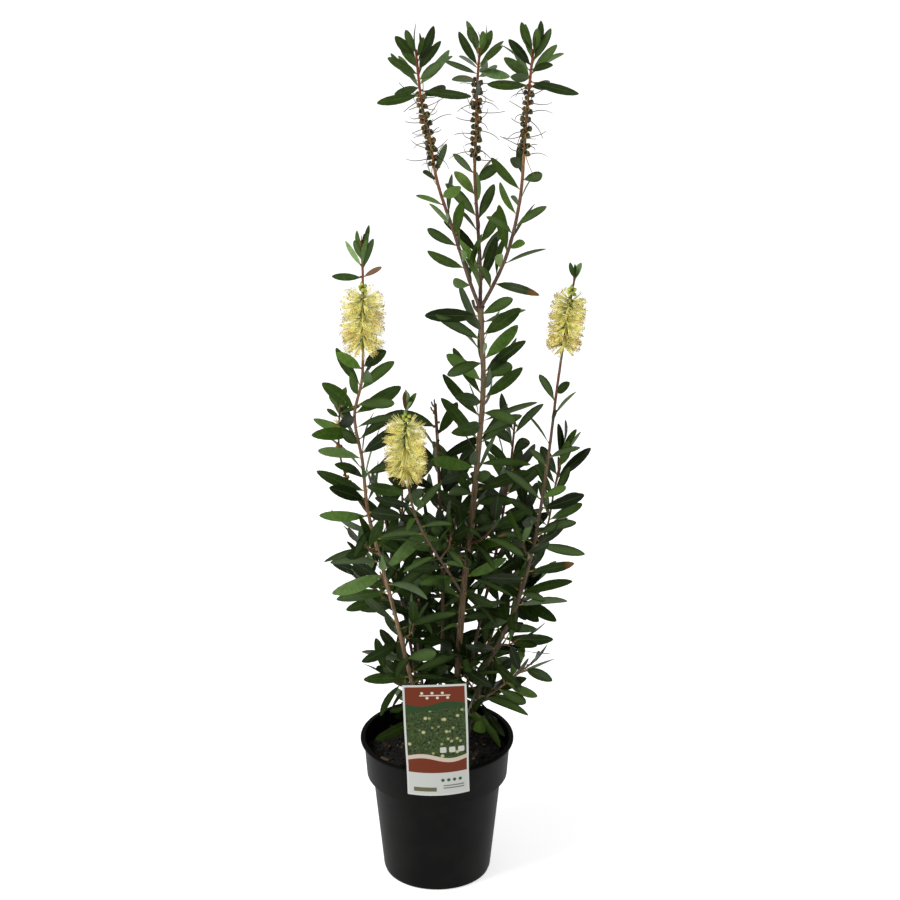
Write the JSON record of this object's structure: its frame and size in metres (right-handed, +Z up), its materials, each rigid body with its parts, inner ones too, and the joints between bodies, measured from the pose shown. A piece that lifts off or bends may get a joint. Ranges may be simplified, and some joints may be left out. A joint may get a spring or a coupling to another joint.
{
  "type": "potted bottlebrush shrub",
  "caption": "Tall, loosely branched evergreen shrub with brush-shaped pale yellow flowers and woody seed cups, in a round nursery pot with a hanging label card.",
  "frame": {"origin": "centre of the pot's flat underside", "axes": "+Z up along the plant, -Y towards the front with the label card, +X to the right seen from the front"},
  "size_m": [0.3341, 0.2593, 1.1715],
  "materials": {
    "pot_plastic": "moulded charcoal-black plastic, matte",
    "potting_mix": "dark bark-chip potting mix",
    "label_plastic": "thin white plastic card, printed pattern, slight gloss",
    "bark": "tan-brown fibrous bark",
    "foliage": "narrow dark green leaves, satin"
  },
  "bodies": {
    "root": {"pot": "pot_plastic", "potting_mix": "potting_mix", "label_card": "label_plastic", "trunk": "bark", "fork_left": "bark", "fork_middle": "bark", "fork_right": "bark", "left_stem": "bark", "right_stem": "bark", "seed_stem": "bark", "inner_left_stem": "bark", "right_middle_stem": "bark", "back_left_stem": "bark", "back_middle_stem": "bark", "back_right_stem": "bark", "front_branch": "bark", "low_right_branch": "bark", "fork_left_foliage": "foliage", "fork_middle_foliage": "foliage", "fork_right_foliage": "foliage", "left_stem_foliage": "foliage", "right_stem_foliage": "foliage", "seed_stem_foliage": "foliage", "inner_left_stem_foliage": "foliage", "right_middle_stem_foliage": "foliage", "back_left_stem_foliage": "foliage", "back_middle_stem_foliage": "foliage", "back_right_stem_foliage": "foliage", "front_branch_foliage": "foliage", "low_right_branch_foliage": "foliage", "trunk_foliage": "foliage", "trunk_foliage_low": "foliage"}
  },
  "joints": []
}
